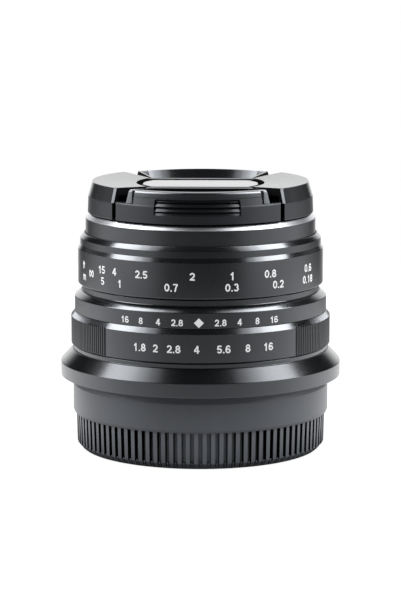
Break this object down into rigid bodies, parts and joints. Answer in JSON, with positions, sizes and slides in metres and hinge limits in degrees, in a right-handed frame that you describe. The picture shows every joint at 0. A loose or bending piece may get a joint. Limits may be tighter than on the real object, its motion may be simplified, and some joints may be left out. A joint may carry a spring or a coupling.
{
  "type": "prime lens",
  "caption": "Compact black manual prime lens with engraved focus and aperture rings, a diaphragm, a centre-pinch front cap and a ribbed rear cap.",
  "frame": {"origin": "on the optical axis, at the underside of the rear cap that the lens stands on", "axes": "+Z along the optical axis towards the front cap, -Y towards the index mark and scales, +X to the right of the scales"},
  "size_m": [0.0606, 0.0606, 0.058],
  "materials": {
    "black_anodised": "black anodised, satin",
    "inner_black": "matt black anodised",
    "bayonet_metal": "turned, satin chrome",
    "screw_steel": "bright",
    "blade_steel": "blackened spring steel",
    "pin_brass": "turned",
    "cap_plastic": "moulded, fine grain",
    "rear_cap_plastic": "moulded, satin",
    "badge_plastic": "smooth, bare",
    "glass": "coated optical glass"
  },
  "bodies": {
    "lens_barrel": {"mount_barrel": "black_anodised", "bayonet_plate": "bayonet_metal", "mount_screws": "screw_steel", "rear_baffle": "inner_black", "index_ring": "black_anodised", "guide_barrel": "inner_black", "focus_retaining_ring": "inner_black"},
    "focus_body": {"focus_ring": "black_anodised"},
    "aperture_body": {"aperture_ring": "black_anodised", "aperture_drive_pin": "pin_brass"},
    "optics": {"front_barrel": "black_anodised", "optics_tube": "inner_black", "guide_keys": "pin_brass", "front_cell": "inner_black", "front_retaining_ring": "black_anodised", "front_spacer": "inner_black", "rear_cell": "inner_black", "middle_spacer": "inner_black", "rear_spacer": "inner_black", "rear_retaining_ring": "inner_black", "iris_base": "inner_black", "element_1": "glass", "element_2": "glass", "element_3": "glass", "element_4": "glass", "element_5": "glass", "element_6": "glass", "element_7": "glass"},
    "iris_cam": {"iris_cam_ring": "inner_black"},
    "front_cap_body": {"front_cap": "cap_plastic", "cap_centre_plate": "badge_plastic"},
    "lever_front_body": {"pinch_lever_front": "cap_plastic"},
    "lever_rear_body": {"pinch_lever_rear": "cap_plastic"},
    "rear_cap_body": {"rear_cap": "rear_cap_plastic"},
    "blade_01": {"iris_blade_01": "blade_steel"},
    "blade_02": {"iris_blade_02": "blade_steel"},
    "blade_03": {"iris_blade_03": "blade_steel"},
    "blade_04": {"iris_blade_04": "blade_steel"},
    "blade_05": {"iris_blade_05": "blade_steel"},
    "blade_06": {"iris_blade_06": "blade_steel"},
    "blade_07": {"iris_blade_07": "blade_steel"},
    "blade_08": {"iris_blade_08": "blade_steel"},
    "blade_09": {"iris_blade_09": "blade_steel"},
    "blade_10": {"iris_blade_10": "blade_steel"},
    "blade_11": {"iris_blade_11": "blade_steel"},
    "blade_12": {"iris_blade_12": "blade_steel"}
  },
  "joints": [
    {"name": "focus_turn", "type": "hinge", "parent": "lens_barrel", "child": "focus_body", "pos_m": [0, 0, 0.041], "axis": [0, 0, 1], "range_deg": [-60.4, 60.4]},
    {"name": "focus_slide", "type": "slide", "parent": "lens_barrel", "child": "optics", "axis": [0, 0, 1], "range_m": [-0.0025, 0.0025]},
    {"name": "aperture_turn", "type": "hinge", "parent": "lens_barrel", "child": "aperture_body", "pos_m": [0, 0, 0.026], "axis": [0, 0, 1], "range_deg": [-31, 26.3]},
    {"name": "cam_turn", "type": "hinge", "parent": "optics", "child": "iris_cam", "pos_m": [0, 0, 0.0346], "axis": [0, 0, 1], "range_deg": [-31.3, 26.6]},
    {"name": "blade_turn_01", "type": "hinge", "parent": "optics", "child": "blade_01", "pos_m": [0.0136, 0, 0.0327], "axis": [0, 0, 1], "range_deg": [-15.14, 12.86]},
    {"name": "blade_turn_02", "type": "hinge", "parent": "optics", "child": "blade_02", "pos_m": [0.01178, 0.0068, 0.0327], "axis": [0, 0, 1], "range_deg": [-15.14, 12.86]},
    {"name": "blade_turn_03", "type": "hinge", "parent": "optics", "child": "blade_03", "pos_m": [0.0068, 0.01178, 0.0327], "axis": [0, 0, 1], "range_deg": [-15.14, 12.86]},
    {"name": "blade_turn_04", "type": "hinge", "parent": "optics", "child": "blade_04", "pos_m": [0, 0.0136, 0.0327], "axis": [0, 0, 1], "range_deg": [-15.14, 12.86]},
    {"name": "blade_turn_05", "type": "hinge", "parent": "optics", "child": "blade_05", "pos_m": [-0.0068, 0.01178, 0.0327], "axis": [0, 0, 1], "range_deg": [-15.14, 12.86]},
    {"name": "blade_turn_06", "type": "hinge", "parent": "optics", "child": "blade_06", "pos_m": [-0.01178, 0.0068, 0.0327], "axis": [0, 0, 1], "range_deg": [-15.14, 12.86]},
    {"name": "blade_turn_07", "type": "hinge", "parent": "optics", "child": "blade_07", "pos_m": [-0.0136, 0, 0.0327], "axis": [0, 0, 1], "range_deg": [-15.14, 12.86]},
    {"name": "blade_turn_08", "type": "hinge", "parent": "optics", "child": "blade_08", "pos_m": [-0.01178, -0.0068, 0.0327], "axis": [0, 0, 1], "range_deg": [-15.14, 12.86]},
    {"name": "blade_turn_09", "type": "hinge", "parent": "optics", "child": "blade_09", "pos_m": [-0.0068, -0.01178, 0.0327], "axis": [0, 0, 1], "range_deg": [-15.14, 12.86]},
    {"name": "blade_turn_10", "type": "hinge", "parent": "optics", "child": "blade_10", "pos_m": [0, -0.0136, 0.0327], "axis": [0, 0, 1], "range_deg": [-15.14, 12.86]},
    {"name": "blade_turn_11", "type": "hinge", "parent": "optics", "child": "blade_11", "pos_m": [0.0068, -0.01178, 0.0327], "axis": [0, 0, 1], "range_deg": [-15.14, 12.86]},
    {"name": "blade_turn_12", "type": "hinge", "parent": "optics", "child": "blade_12", "pos_m": [0.01178, -0.0068, 0.0327], "axis": [0, 0, 1], "range_deg": [-15.14, 12.86]},
    {"name": "front_cap_lift", "type": "slide", "parent": "optics", "child": "front_cap_body", "axis": [0, 0, 1], "range_m": [0, 0.025]},
    {"name": "pinch_front", "type": "slide", "parent": "front_cap_body", "child": "lever_front_body", "axis": [0, 1, 0], "range_m": [0, 0.0012], "stiffness_N_per_m": 300, "springref_m": -0.001},
    {"name": "pinch_rear", "type": "slide", "parent": "front_cap_body", "child": "lever_rear_body", "axis": [0, -1, 0], "range_m": [0, 0.0012], "stiffness_N_per_m": 300, "springref_m": -0.001},
    {"name": "rear_cap_drop", "type": "slide", "parent": "lens_barrel", "child": "rear_cap_body", "axis": [0, 0, -1], "range_m": [0, 0.02]}
  ],
  "couplings": [
    {"joint": "focus_turn", "follows": "focus_slide", "rad_per_m": -418.88},
    {"joint": "cam_turn", "follows": "aperture_turn", "ratio": 1},
    {"joint": "blade_turn_01", "follows": "aperture_turn", "ratio": 0.48342},
    {"joint": "blade_turn_02", "follows": "aperture_turn", "ratio": 0.48342},
    {"joint": "blade_turn_03", "follows": "aperture_turn", "ratio": 0.48342},
    {"joint": "blade_turn_04", "follows": "aperture_turn", "ratio": 0.48342},
    {"joint": "blade_turn_05", "follows": "aperture_turn", "ratio": 0.48342},
    {"joint": "blade_turn_06", "follows": "aperture_turn", "ratio": 0.48342},
    {"joint": "blade_turn_07", "follows": "aperture_turn", "ratio": 0.48342},
    {"joint": "blade_turn_08", "follows": "aperture_turn", "ratio": 0.48342},
    {"joint": "blade_turn_09", "follows": "aperture_turn", "ratio": 0.48342},
    {"joint": "blade_turn_10", "follows": "aperture_turn", "ratio": 0.48342},
    {"joint": "blade_turn_11", "follows": "aperture_turn", "ratio": 0.48342},
    {"joint": "blade_turn_12", "follows": "aperture_turn", "ratio": 0.48342}
  ]
}
